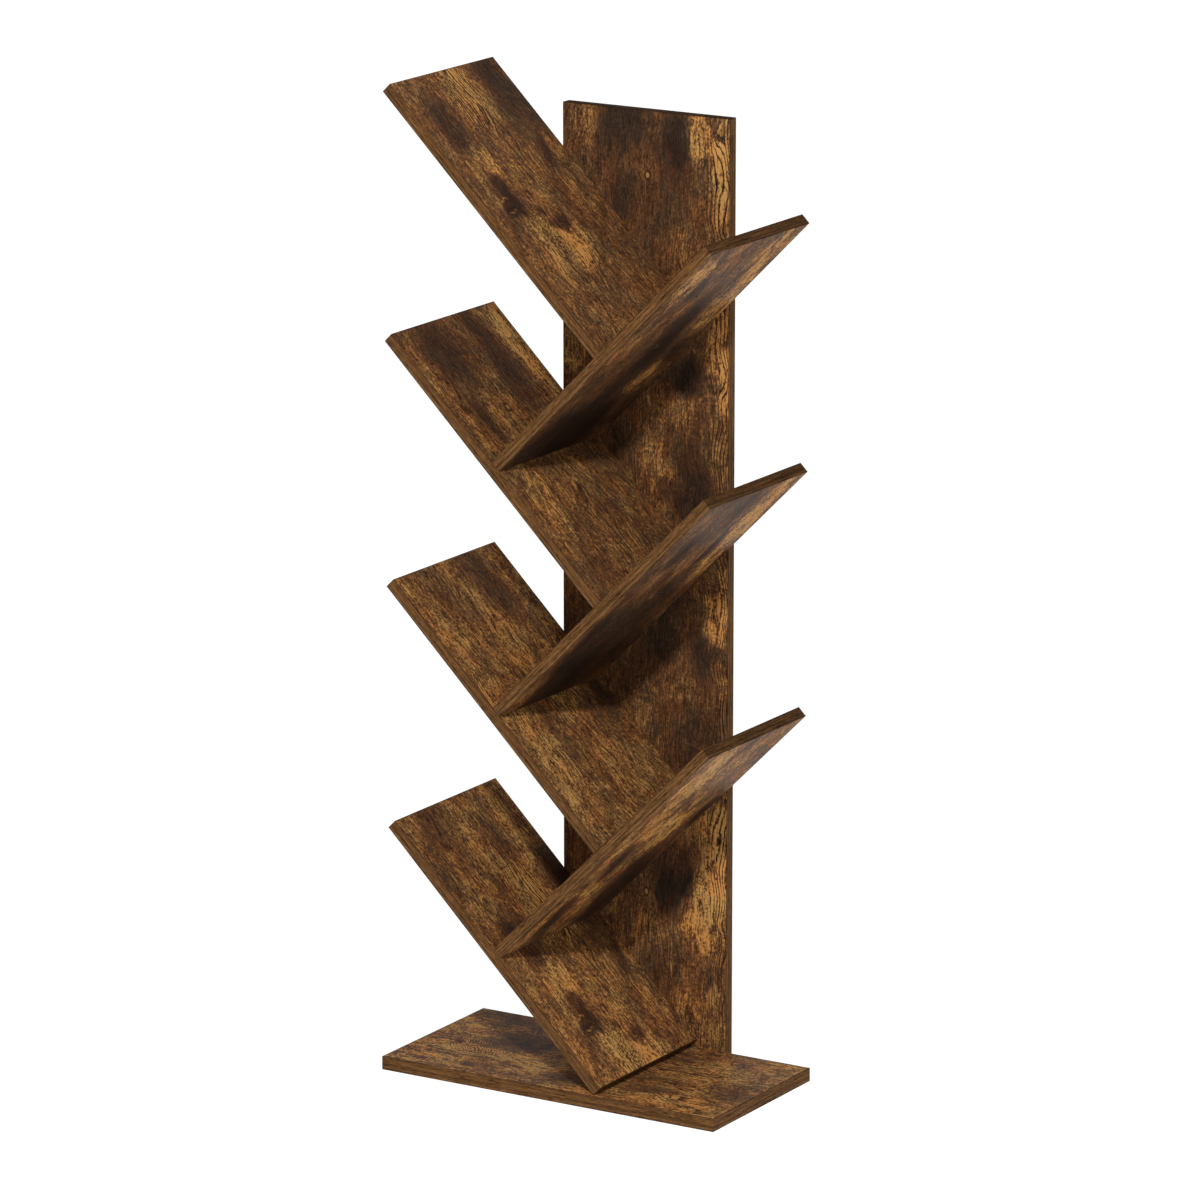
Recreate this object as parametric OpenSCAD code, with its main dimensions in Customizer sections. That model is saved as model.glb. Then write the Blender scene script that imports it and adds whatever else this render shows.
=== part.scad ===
// Tree-shaped bookshelf: a tower of slanted shelf boards in front of a narrow back panel.
// Left boards fall to the right and right boards fall to the left. Each board's lower end
// stands square on the middle of the next board, so every pair makes a V that holds books.
// The origin is on the floor in the middle of the footprint. +Z is up, the front faces -Y.

/* [Base plate] */
// Width of the base plate, which is the widest piece
base_w = 500; // [460:5:600]
// Depth of the base plate from its front edge to the back panel
base_d = 247; // [200:1:300]
// Thickness of the base plate
base_t = 18; // [15:1:25]

/* [Shelf boards] */
// Finished length of every slanted shelf board
shelf_l = 438; // [380:1:460]
// Thickness of the shelf boards
shelf_t = 15; // [12:1:18]
// How far the shelf boards stand behind the base plate's front edge
shelf_setback = 4; // [0:1:20]

/* [Back panel] */
// Width of the back panel
panel_w = 248; // [200:1:300]
// Thickness of the back panel
panel_t = 15; // [12:1:18]
// How far the back panel ends below the highest corner of the shelves
panel_drop = 49; // [20:1:80]

/* [Edge strips] */
// Thickness of the printed strips that are glued on the cut edges
strip_t = 0.8; // [0.4:0.1:2]
// Hairline that is left between two strips where they meet at a corner
strip_gap = 0.05; // [0.02:0.01:0.2]

/* [Joint screws and dowels] */
// Length of the screws that join a board to the end of the board above it
joint_screw_l = 50; // [40:1:60]
// Diameter of the joint screws' smooth neck, which fills the hole in the lower board
joint_screw_neck_d = 7; // [5:0.5:8]
// Diameter of the joint screws' threaded part, in the upper board's end
joint_screw_core_d = 5; // [3:0.5:6]
// Diameter of the joint screws' heads
joint_screw_head_d = 10; // [9:0.5:12]
// Distance from the shelf boards' rear edges to the joint screws
joint_screw_from_rear = 116; // [90:1:140]
// Length of the wood dowels
dowel_l = 30; // [25:1:40]
// Diameter of the wood dowels
dowel_d = 8; // [6:1:8]
// How deep the dowels sit in the face of the lower board
dowel_in_face = 9; // [6:1:10]
// Distance of the two dowels from the joint screw, to the front and to the rear
dowel_spacing = 80; // [40:1:85]

/* [Wood screws] */
// Diameter of the wood screws' shanks
wood_screw_d = 4; // [3:0.5:5]
// Diameter of the wood screws' heads
wood_screw_head_d = 8; // [7:0.5:9]
// Length of the screws that hold the back panel
panel_screw_l = 40; // [30:1:45]
// Length of the screws that come up through the base plate into the lowest board
toe_screw_l = 35; // [30:1:36]
// Distance of the outer panel screws from the panel's side edges
panel_screw_inset = 25; // [15:1:40]
// Distance of the inner panel screws from the shelf boards' lower ends
inner_screw_inset = 60; // [45:1:90]
// Distance of the toe screws from the lowest board's front and rear edges
toe_screw_inset = 50; // [30:1:90]
// How far the toe screws stand back from the corner line that the lowest board stands on
toe_screw_back = 4; // [3:0.5:6]

/* [Fits] */
// Radial clearance of every screw and dowel in its hole
hole_gap = 0.1; // [0.05:0.01:0.2]
// Depth that is left free past the tip of every screw and dowel
tip_gap = 1; // [0.5:0.1:2]
// How far the screw heads lie below the surface
head_sink = 0.5; // [0.2:0.1:1]

/* [Hidden] */
// The boards meet at right angles, so they can only slope at this angle.
slope = 45;
left_count = 4;
cut = 1;
$fn = 48;

// The tower of shelves
shelf_d = base_d - shelf_setback;
pitch = (shelf_l + shelf_t) * sin(slope);
tower_w = 1.5 * pitch;
tower_top = base_t + left_count * pitch;
panel_h = tower_top - panel_drop;

// Places along the depth
front_y = -(base_d + panel_t) / 2;
rear_y = front_y + base_d;
panel_rear_y = rear_y + panel_t;
shelf_front_y = front_y + shelf_setback;
joint_screw_y = shelf_d - joint_screw_from_rear;

// Places along a shelf board, from its upper end
joint_s = shelf_l / 2;
outer_screw_x = panel_w / 2 - panel_screw_inset;
outer_screw_s = (tower_w / 2 - outer_screw_x) / cos(slope) - shelf_t / 2;
inner_screw_s = shelf_l - inner_screw_inset;

// The line on the base plate that the lowest board's corner stands on
toe_x = shelf_l * cos(slope) - tower_w / 2;

// Screw heads and points
head_rim = 1;
head_cone = 1;
neck_taper = 1;
point_l = 4;
point_d = 1;
socket_d = 4;
socket_depth = 2.5;
cross_w = 1;
cross_l = 4.5;
cross_depth = 1.5;
dowel_chamfer = 1;

board_colour = "#5b432e";
strip_colour = "#61442a";
screw_colour = "#8f8a80";
dowel_colour = "#c9a878";

// Height of the lower face's outer corner of left board k, counted from the top
function left_z(k) = base_t + shelf_l * sin(slope) + (left_count - k) * pitch;

// Puts a shelf board's own frame in place: +X down the slope, +Y to the rear, +Z out of its upper face
module on_left(k) {
    translate([-tower_w / 2, shelf_front_y, left_z(k)])
        rotate([0, slope, 0])
            children();
}

module on_right(k) {
    mirror([1, 0, 0])
        translate([0, 0, -pitch / 2])
            on_left(k)
                children();
}

// The base plate's own frame starts at its front left corner.
module on_base() {
    translate([-base_w / 2, front_y, 0])
        children();
}

// The back panel's own frame stands up: +X is the height and +Y the width.
module on_panel() {
    translate([-panel_w / 2, rear_y, 0])
        rotate([-90, -90, 0])
            children();
}

// A board of length l, depth d and thickness t, less the room for its edge strips
module board(l, d, t, start_strip = true) {
    start = start_strip ? strip_t : 0;
    translate([start, strip_t, 0])
        cube([l - strip_t - start, d - 2 * strip_t, t]);
}

// The strips around that board: two along its length, and one at each banded end between them
module edge_strips(l, d, t, start_strip = true) {
    for (y = [0, d - strip_t])
        translate([0, y, 0])
            cube([l, strip_t, t]);
    for (x = start_strip ? [0, l - strip_t] : [l - strip_t])
        translate([x, strip_t + strip_gap, 0])
            cube([strip_t, d - 2 * (strip_t + strip_gap), t]);
}

// A turned shape that starts at the origin and runs along +Z, from a list of [radius, height]
module turned(steps) {
    last = steps[len(steps) - 1];
    rotate_extrude()
        polygon(concat([[0, 0]], steps, [[0, last[1]]]));
}

// The joint screw's outline: the head and the neck stay inside the lower board, the rest runs into the end
function joint_screw_steps(grow, extra) = [
    [joint_screw_head_d / 2 + grow, 0],
    [joint_screw_head_d / 2 + grow, head_rim],
    [joint_screw_neck_d / 2 + grow, head_rim + head_cone],
    [joint_screw_neck_d / 2 + grow, shelf_t - head_sink - 2 * neck_taper],
    [joint_screw_core_d / 2 + grow, shelf_t - head_sink - neck_taper],
    [joint_screw_core_d / 2 + grow, joint_screw_l - point_l + extra],
    [point_d / 2 + grow, joint_screw_l + extra]
];

module joint_screw() {
    translate([0, 0, head_sink])
        difference() {
            turned(joint_screw_steps(0, 0));
            translate([0, 0, -cut])
                cylinder(h = socket_depth + cut, d = socket_d, $fn = 6);
        }
}

// The hole that the joint screw and its sunk head need, drilled from the lower board's underside
module joint_screw_hole() {
    translate([0, 0, head_sink])
        turned(joint_screw_steps(hole_gap, tip_gap));
    translate([0, 0, -cut])
        cylinder(h = head_sink + 2 * cut, r = joint_screw_head_d / 2 + hole_gap);
}

// A countersunk wood screw with its head at the origin, pointing along +Z
function wood_screw_steps(l, grow, extra) = [
    [wood_screw_head_d / 2 + grow, 0],
    [wood_screw_d / 2 + grow, (wood_screw_head_d - wood_screw_d) / 2],
    [wood_screw_d / 2 + grow, l - point_l + extra],
    [point_d / 2 + grow, l + extra]
];

module wood_screw(l) {
    translate([0, 0, head_sink])
        difference() {
            turned(wood_screw_steps(l, 0, 0));
            for (turn = [0, 90])
                rotate([0, 0, turn])
                    translate([-cross_l / 2, -cross_w / 2, -cut])
                        cube([cross_l, cross_w, cross_depth + cut]);
        }
}

module wood_screw_hole(l) {
    translate([0, 0, head_sink])
        turned(wood_screw_steps(l, hole_gap, tip_gap));
    translate([0, 0, -cut])
        cylinder(h = head_sink + cut, r = wood_screw_head_d / 2 + hole_gap);
}

// A dowel that stands in the lower board's upper face, with the rest of it in the upper board's end
module dowel() {
    translate([0, 0, shelf_t - dowel_in_face])
        turned([
            [dowel_d / 2 - dowel_chamfer, 0],
            [dowel_d / 2, dowel_chamfer],
            [dowel_d / 2, dowel_l - dowel_chamfer],
            [dowel_d / 2 - dowel_chamfer, dowel_l]
        ]);
}

module dowel_hole() {
    translate([0, 0, shelf_t - dowel_in_face - tip_gap])
        cylinder(h = dowel_l + 2 * tip_gap, r = dowel_d / 2 + hole_gap);
}

// The middle of a board, where the board above it stands
module at_joint_screw() {
    translate([joint_s, joint_screw_y, 0])
        children();
}

module at_joint_dowels() {
    for (side = [-1, 1])
        translate([joint_s, joint_screw_y + side * dowel_spacing, 0])
            children();
}

module joint_holes() {
    at_joint_screw() joint_screw_hole();
    at_joint_dowels() dowel_hole();
}

// The panel screws of one shelf board, in its own frame, from the back panel's rear face
module at_shelf_panel_screws() {
    for (s = [outer_screw_s, inner_screw_s])
        translate([s, shelf_d + panel_t, shelf_t / 2])
            rotate([90, 0, 0])
                children();
}

// The panel screws that hold the base plate's rear edge
module at_base_panel_screws() {
    for (side = [-1, 0, 1])
        translate([side * outer_screw_x, panel_rear_y, base_t / 2])
            rotate([90, 0, 0])
                children();
}

// The screws that come up through the base plate into the lowest board
module at_toe_screws() {
    for (y = [toe_screw_inset, shelf_d - toe_screw_inset])
        translate([toe_x - toe_screw_back, shelf_front_y + y, 0])
            children();
}

// Every place where a board's lower end stands on left board k or on right board k
module at_left_joints(k) {
    if (k > 1)
        on_left(k) children();
}

module at_right_joints(k) {
    if (k < left_count)
        on_right(k) children();
}

// All holes that touch left board k: its own joint, the joint under its lower end, and the panel screws
module left_holes(k) {
    at_left_joints(k) joint_holes();
    at_right_joints(k) joint_holes();
    on_left(k) at_shelf_panel_screws() wood_screw_hole(panel_screw_l);
    if (k == left_count)
        at_toe_screws() wood_screw_hole(toe_screw_l);
}

module right_holes(k) {
    at_right_joints(k) joint_holes();
    at_left_joints(k + 1) joint_holes();
    on_right(k) at_shelf_panel_screws() wood_screw_hole(panel_screw_l);
}

module panel_holes() {
    at_base_panel_screws() wood_screw_hole(panel_screw_l);
    for (k = [1:left_count])
        on_left(k) at_shelf_panel_screws() wood_screw_hole(panel_screw_l);
    for (k = [1:left_count - 1])
        on_right(k) at_shelf_panel_screws() wood_screw_hole(panel_screw_l);
}

module base_plate() {
    color(board_colour)
        difference() {
            on_base() board(base_w, base_d, base_t);
            at_base_panel_screws() wood_screw_hole(panel_screw_l);
            at_toe_screws() wood_screw_hole(toe_screw_l);
        }
}

module base_edge_strips() {
    color(strip_colour)
        difference() {
            on_base() edge_strips(base_w, base_d, base_t);
            at_base_panel_screws() wood_screw_hole(panel_screw_l);
        }
}

// The panel's lower edge stands on the floor and has no strip.
module back_panel() {
    color(board_colour)
        difference() {
            on_panel() board(panel_h, panel_w, panel_t, start_strip = false);
            panel_holes();
        }
}

module panel_edge_strips() {
    color(strip_colour)
        on_panel() edge_strips(panel_h, panel_w, panel_t, start_strip = false);
}

module left_shelf(k) {
    color(board_colour)
        difference() {
            on_left(k) board(shelf_l, shelf_d, shelf_t);
            left_holes(k);
        }
}

module left_edge_strips(k) {
    color(strip_colour)
        difference() {
            on_left(k) edge_strips(shelf_l, shelf_d, shelf_t);
            left_holes(k);
        }
}

module right_shelf(k) {
    color(board_colour)
        difference() {
            on_right(k) board(shelf_l, shelf_d, shelf_t);
            right_holes(k);
        }
}

module right_edge_strips(k) {
    color(strip_colour)
        difference() {
            on_right(k) edge_strips(shelf_l, shelf_d, shelf_t);
            right_holes(k);
        }
}

module joint_screws() {
    color(screw_colour)
        for (k = [1:left_count]) {
            at_left_joints(k) at_joint_screw() joint_screw();
            at_right_joints(k) at_joint_screw() joint_screw();
        }
}

module joint_dowels() {
    color(dowel_colour)
        for (k = [1:left_count]) {
            at_left_joints(k) at_joint_dowels() dowel();
            at_right_joints(k) at_joint_dowels() dowel();
        }
}

module panel_screws() {
    color(screw_colour) {
        at_base_panel_screws() wood_screw(panel_screw_l);
        for (k = [1:left_count])
            on_left(k) at_shelf_panel_screws() wood_screw(panel_screw_l);
        for (k = [1:left_count - 1])
            on_right(k) at_shelf_panel_screws() wood_screw(panel_screw_l);
    }
}

module toe_screws() {
    color(screw_colour)
        at_toe_screws() wood_screw(toe_screw_l);
}

base_plate();
base_edge_strips();
back_panel();
panel_edge_strips();
left_shelf(1);  // left_shelf_1
left_shelf(2);  // left_shelf_2
left_shelf(3);  // left_shelf_3
left_shelf(4);  // left_shelf_4
right_shelf(1);  // right_shelf_1
right_shelf(2);  // right_shelf_2
right_shelf(3);  // right_shelf_3
left_edge_strips(1);  // left_edge_strips_1
left_edge_strips(2);  // left_edge_strips_2
left_edge_strips(3);  // left_edge_strips_3
left_edge_strips(4);  // left_edge_strips_4
right_edge_strips(1);  // right_edge_strips_1
right_edge_strips(2);  // right_edge_strips_2
right_edge_strips(3);  // right_edge_strips_3
joint_screws();
joint_dowels();
panel_screws();
toe_screws();
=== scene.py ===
"""A tree-shaped bookshelf: slanted boards in front of a narrow back panel, on a flat base plate."""

import logging
import math
from dataclasses import dataclass, replace
from enum import Enum
from typing import Union

import bmesh
import bpy
from mathutils import Euler, Matrix, Vector


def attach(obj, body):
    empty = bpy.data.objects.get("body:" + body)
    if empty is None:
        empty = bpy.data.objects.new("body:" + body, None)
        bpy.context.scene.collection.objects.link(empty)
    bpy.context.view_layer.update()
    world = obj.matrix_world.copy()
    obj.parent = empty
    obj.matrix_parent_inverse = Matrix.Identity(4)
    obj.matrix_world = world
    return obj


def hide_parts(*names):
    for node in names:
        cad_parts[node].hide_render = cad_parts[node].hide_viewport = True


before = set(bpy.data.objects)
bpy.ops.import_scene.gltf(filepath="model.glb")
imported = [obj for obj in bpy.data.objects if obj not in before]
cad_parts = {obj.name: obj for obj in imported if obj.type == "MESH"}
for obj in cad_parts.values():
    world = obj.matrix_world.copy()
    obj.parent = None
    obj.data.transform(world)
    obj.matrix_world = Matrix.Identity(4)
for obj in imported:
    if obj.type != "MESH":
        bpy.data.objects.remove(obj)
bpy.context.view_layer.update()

log = logging.getLogger("bookshelf")

MM = 0.001
ROOT = "root"

Colour = tuple[float, float, float, float]
Stops = tuple[tuple[float, Colour], ...]
Pair = tuple[float, float]
Triple = tuple[float, float, float]
Value = Union["Wire", float, tuple, Euler]

WHITE: Colour = (1.0, 1.0, 1.0, 1.0)


def paint(red: int, green: int, blue: int) -> Colour:
    """Turns a display colour of 0 to 255 a channel into the linear one that a shader takes.

    Args:
        red: the red channel.
        green: the green channel.
        blue: the blue channel.

    Returns:
        The linear colour, with full alpha.
    """
    channels = [channel / 255 for channel in (red, green, blue)]
    linear = [c / 12.92 if c <= 0.04045 else ((c + 0.055) / 1.055) ** 2.4 for c in channels]
    return (linear[0], linear[1], linear[2], 1.0)


class Wire:
    """A value on its way through a material's nodes, with Python's arithmetic."""

    def __init__(self, graph: "Graph", socket: bpy.types.NodeSocket) -> None:
        """Keeps the graph that the value belongs to and the socket that gives it."""
        self.graph = graph
        self.socket = socket

    def math(self, operation: str, *values: Value) -> "Wire":
        """Adds one Math node with the values as its inputs."""
        return self.graph.node("ShaderNodeMath", {"operation": operation}, dict(enumerate(values))).out()

    def __add__(self, other: Value) -> "Wire":
        """Adds another value."""
        return self.math("ADD", self, other)

    def __radd__(self, other: Value) -> "Wire":
        """Is added to a plain number."""
        return self.math("ADD", other, self)

    def __sub__(self, other: Value) -> "Wire":
        """Takes another value away."""
        return self.math("SUBTRACT", self, other)

    def __rsub__(self, other: Value) -> "Wire":
        """Is taken away from a plain number."""
        return self.math("SUBTRACT", other, self)

    def __mul__(self, other: Value) -> "Wire":
        """Multiplies by another value."""
        return self.math("MULTIPLY", self, other)

    def __rmul__(self, other: Value) -> "Wire":
        """Multiplies a plain number."""
        return self.math("MULTIPLY", other, self)

    def __truediv__(self, other: Value) -> "Wire":
        """Divides by another value."""
        return self.math("DIVIDE", self, other)

    def __abs__(self) -> "Wire":
        """Drops the sign."""
        return self.math("ABSOLUTE", self)

    def above(self, other: Value) -> "Wire":
        """Gives 1 where the value is above the other one, and 0 elsewhere."""
        return self.math("GREATER_THAN", self, other)

    def largest(self, other: Value) -> "Wire":
        """Gives the larger of two values."""
        return self.math("MAXIMUM", self, other)

    def smallest(self, other: Value) -> "Wire":
        """Gives the smaller of two values."""
        return self.math("MINIMUM", self, other)

    def line(self, start: float, slope: float) -> "Wire":
        """Gives a straight line over the value."""
        return start + slope * self

    def wave(self, length: float) -> "Wire":
        """Gives a sine of the value, from -1 to 1, with waves of this length."""
        return self.math("SINE", self * (math.tau / length))

    def vector(self, operation: str, *values: Value) -> "Wire":
        """Adds one Vector Math node with this vector as its first input."""
        inputs = dict(enumerate((self, *values)))
        return self.graph.node("ShaderNodeVectorMath", {"operation": operation}, inputs).out()

    def parts(self) -> tuple["Wire", "Wire", "Wire"]:
        """Splits a vector into its three numbers."""
        split = self.graph.node("ShaderNodeSeparateXYZ", {}, {0: self})
        return (split.out(0), split.out(1), split.out(2))

    def ease(self, low: float, high: float, start: Value = 0.0, end: Value = 1.0) -> "Wire":
        """Goes smoothly from one value to another between two limits, of which low may be the higher one.

        Args:
            low: where the first value holds.
            high: where the second value holds.
            start: the first value.
            end: the second value.

        Returns:
            The eased value.
        """
        settings = {"interpolation_type": "SMOOTHSTEP"}
        inputs = {"Value": self, "From Min": low, "From Max": high, "To Min": start, "To Max": end}
        return self.graph.node("ShaderNodeMapRange", settings, inputs).out("Result")


@dataclass(frozen=True)
class Made:
    """A node that has just been made, and the graph that it is in."""

    graph: "Graph"
    node: bpy.types.Node

    def out(self, name: Union[str, int] = 0) -> Wire:
        """Gives one of the node's outputs as a wire."""
        return Wire(self.graph, self.node.outputs[name])


@dataclass(frozen=True)
class Blots:
    """The length and width of a noise's blots in millimetres, its finer layers and how strong they are."""

    along: float
    across: float
    detail: float
    roughness: float = 0.5


class Graph:
    """The nodes of one material, or those of the surroundings."""

    def __init__(self, owner: Union[bpy.types.Material, bpy.types.World]) -> None:
        """Starts without nodes.

        Args:
            owner: the material or the world that the nodes belong to.
        """
        owner.use_nodes = True
        self.owner = owner
        self.tree = owner.node_tree
        self.tree.nodes.clear()

    def node(self, kind: str, settings: dict, inputs: dict) -> Made:
        """Adds one node.

        Args:
            kind: the node's type.
            settings: what is set first; the entry stops fills a colour ramp.
            inputs: values or wires by socket name or number.

        Returns:
            The new node.
        """
        node = self.tree.nodes.new(kind)
        for name, value in settings.items():
            if name == "stops":
                self.fill_ramp(node.color_ramp, value)
            else:
                setattr(node, name, value)
        for name, value in inputs.items():
            socket = node.inputs[name]
            if isinstance(value, Wire):
                self.tree.links.new(value.socket, socket)
            else:
                socket.default_value = value
        return Made(self, node)

    @staticmethod
    def fill_ramp(ramp: bpy.types.ColorRamp, stops: Stops) -> None:
        """Puts colours on a ramp.

        Args:
            ramp: the ramp, with its two first stops.
            stops: pairs of a place from 0 to 1 and a colour, in rising order.
        """
        while len(ramp.elements) < len(stops):
            ramp.elements.new(1.0)
        for element, (place, colour) in zip(ramp.elements, stops):
            element.position = place
            element.color = colour

    def ramp(self, level: Wire, stops: Stops) -> Wire:
        """Gives the colour that a ramp has at a level from 0 to 1."""
        return self.node("ShaderNodeValToRGB", {"stops": stops}, {0: level}).out()

    def blend(self, factor: Value, first: Value, second: Value, kind: str = "MIX") -> Wire:
        """Goes from the first colour or vector at 0 to the second, or their mixture, at 1."""
        settings = {"data_type": "RGBA", "blend_type": kind}
        return self.node("ShaderNodeMix", settings, {0: factor, 6: first, 7: second}).out(2)

    def tint(self, factor: Value, first: Value, second: Value) -> Wire:
        """Multiplies a colour by a second one, as far as the factor says."""
        return self.blend(factor, first, second, "MULTIPLY")

    def noise(self, place: Wire, blots: Blots, output: str = "Fac") -> Wire:
        """Adds a flat noise.

        Args:
            place: where on the print, in millimetres.
            blots: the size of its blots.
            output: Fac for a number or Color for three at once.

        Returns:
            The noise, from 0 to 1.
        """
        squeezed = place.vector("MULTIPLY", (1 / blots.along, 1 / blots.across, 1.0))
        inputs = {"Vector": squeezed, "Scale": 1.0, "Detail": blots.detail, "Roughness": blots.roughness}
        return self.node("ShaderNodeTexNoise", {"noise_dimensions": "2D"}, inputs).out(output)

    def object_place(self) -> Wire:
        """Gives the place on the object, in metres."""
        return self.node("ShaderNodeTexCoord", {}, {}).out("Object")

    def mottling(self, scale: float, detail: float) -> Wire:
        """Adds an even noise on the object, from 0 to 1, with so many blots a metre."""
        inputs = {"Vector": self.object_place(), "Scale": scale, "Detail": detail}
        return self.node("ShaderNodeTexNoise", {}, inputs).out()

    def surface(self, settings: dict, colour: Value, roughness: Value, height: Wire, depth: float) -> None:
        """Finishes the material with one shader.

        Args:
            settings: constant inputs of the shader, by name.
            colour: the base colour.
            roughness: the roughness.
            height: the relief, from 0 to 1.
            depth: how deep the relief is, in metres.
        """
        relief = {"Height": height, "Distance": depth, "Strength": 1.0}
        bump = self.node("ShaderNodeBump", {}, relief).out("Normal")
        self.shade({**settings, "Base Color": colour, "Roughness": roughness, "Normal": bump})

    def shade(self, inputs: dict) -> None:
        """Gives the material its shader, with these inputs."""
        shader = self.node("ShaderNodeBsdfPrincipled", {}, inputs).out("BSDF")
        self.node("ShaderNodeOutputMaterial", {}, {"Surface": shader})


@dataclass(frozen=True)
class Placement:
    """Where a board lies: +X runs along its grain, +Y across it and +Z through its thickness."""

    origin: Triple
    turn: Triple = (0.0, 0.0, 0.0)
    mirrored: bool = False

    def angles(self) -> Euler:
        """Gives the turn in radians."""
        return Euler([math.radians(angle) for angle in self.turn])

    def stretch(self) -> Triple:
        """Gives the scale that mirrors the grain direction where the board is mirrored."""
        return (-1.0 if self.mirrored else 1.0, 1.0, 1.0)

    def matrix(self) -> Matrix:
        """Gives the transform from the board's own frame to the bookshelf's."""
        return Matrix.LocRotScale(Vector(self.origin), self.angles(), Vector(self.stretch()))

    def read(self, graph: Graph) -> Wire:
        """Adds the nodes that read a point in the board's own frame, in millimetres.

        Args:
            graph: the material's nodes.

        Returns:
            The point.
        """
        inputs = {
            "Vector": graph.object_place(),
            "Location": self.origin,
            "Rotation": self.angles(),
            "Scale": tuple(MM * side for side in self.stretch()),
        }
        return graph.node("ShaderNodeMapping", {"vector_type": "TEXTURE"}, inputs).out()


class Face(Enum):
    """Which of a board's two large faces the print's best side is on."""

    LOWER = "lower"
    UPPER = "upper"


@dataclass(frozen=True)
class Patch:
    """A soft-edged lighter or darker place in the wood print, or a place of painted shade, in millimetres
    on the board.
    """

    along: float
    across: float
    half_length: float
    half_width: float
    tone: float

    def moved(self, along: float, across: float) -> "Patch":
        """Gives the same patch further along and across the grain, in millimetres."""
        return replace(self, along=self.along + along, across=self.across + across)

    def cover(self, place: Wire, ragged: Wire) -> Wire:
        """Tells how far the patch covers a place.

        Args:
            place: the warped place on the board, in millimetres.
            ragged: a fine noise around 0 that frays the patch's edge.

        Returns:
            The cover, from 0 outside the patch to 1.
        """
        soft_rim, outer_rim = 0.75, 0.25
        scale = (1 / self.half_length, 1 / self.half_width, 0.0)
        shift = (-self.along / self.half_length, -self.across / self.half_width, 0.0)
        spot = place.vector("MULTIPLY_ADD", scale, shift)
        fall = place.graph.node("ShaderNodeTexGradient", {"gradient_type": "SPHERICAL"}, {0: spot}).out(1)
        return (fall + ragged).ease(0.0, soft_rim).smallest(fall.ease(0.0, outer_rim))


Patches = tuple[Patch, ...]


class Layers:
    """The places of a print in millimetres, its large tones, and the noises that its detail is made of."""

    def __init__(self, look: "RusticPrint", flat: Wire) -> None:
        """Makes the places, the noises and the large tones.

        Args:
            look: the print.
            flat: the place on the board, in millimetres.
        """
        graph = flat.graph
        printed = flat.vector("ADD", (*look.shift, 0.0))
        bend = self.swing(graph.noise(printed, look.wide, "Color"), look.bend_reach)
        self.curl = self.swing(graph.noise(printed, look.close, "Color"), look.curl_reach)
        warp = bend.vector("ADD", self.curl)
        self.flat = flat
        self.combed = printed.vector("ADD", bend)
        self.warped = printed.vector("ADD", warp)
        self.on_board = flat.vector("ADD", warp)

        self.cloud = graph.noise(self.warped, look.cloud) - 0.5
        self.flame = graph.noise(self.warped, look.flame) - 0.5
        self.fleck = graph.noise(self.warped, look.fleck) - 0.5
        self.streak = graph.noise(self.combed, look.streak) - 0.5
        self.fibre = graph.noise(self.combed, look.fibre) - 0.5
        self.grit = graph.noise(printed, look.grit) - 0.5
        self.zone = graph.noise(self.warped, look.zone)
        self.sway = graph.noise(self.combed, look.sway)
        self.ragged = self.flame + look.streak_fray * self.streak + look.grit_fray * self.grit

        marks = self.marked(look.patches, self.on_board)
        base = look.tone + look.vivid * (marks + look.cloud_gain * self.cloud)
        self.base = base.largest(look.tone_limits[0]).smallest(look.tone_limits[1])
        zone = self.zone + look.scatter_cloud * self.cloud
        scattered = look.scatter_gain * zone.ease(*look.scatter_edge)
        self.figured = (self.marked(look.figures, self.on_board) + scattered).smallest(1.0)

    @staticmethod
    def swing(noise: Wire, reach: Pair) -> Wire:
        """Turns a noise of three numbers into a move of 0 on average, in millimetres."""
        return noise.vector("MULTIPLY_ADD", (*reach, 0.0), (-reach[0] / 2, -reach[1] / 2, 0.0))

    def marked(self, patches: Patches, place: Wire) -> Value:
        """Adds up the tones of patches.

        Args:
            patches: the patches.
            place: the warped place on the board, in millimetres.

        Returns:
            The summed tone, 0 where there is no patch.
        """
        total: Value = 0.0
        for patch in patches:
            total = patch.cover(place, self.ragged) * patch.tone + total
        return total


@dataclass(frozen=True)
class Knot:
    """A small pale knot in a dark ring, in millimetres on the board."""

    along: float
    across: float
    radius: float = 3.4
    slenderness: float = 0.7
    ring_reach: float = 1.9
    ring: Colour = paint(44, 30, 20)
    ring_cover: float = 0.85
    heart: Colour = paint(158, 120, 76)
    heart_cover: float = 0.9

    def paint_over(self, colour: Wire, flat: Wire) -> Wire:
        """Paints the knot over the print.

        Args:
            colour: the print's colour so far.
            flat: the place on the board, in millimetres.

        Returns:
            The colour with the knot.
        """
        graph = flat.graph
        scale = (self.slenderness / self.radius, 1 / self.radius, 0.0)
        shift = (-self.along * scale[0], -self.across * scale[1], 0.0)
        spot = flat.vector("MULTIPLY_ADD", scale, shift)
        reach = graph.node("ShaderNodeVectorMath", {"operation": "LENGTH"}, {0: spot}).out("Value")
        ringed = graph.blend(reach.ease(self.ring_reach, 1.0) * self.ring_cover, colour, self.ring)
        return graph.blend(reach.ease(1.0, 0.5) * self.heart_cover, ringed, self.heart)


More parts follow.
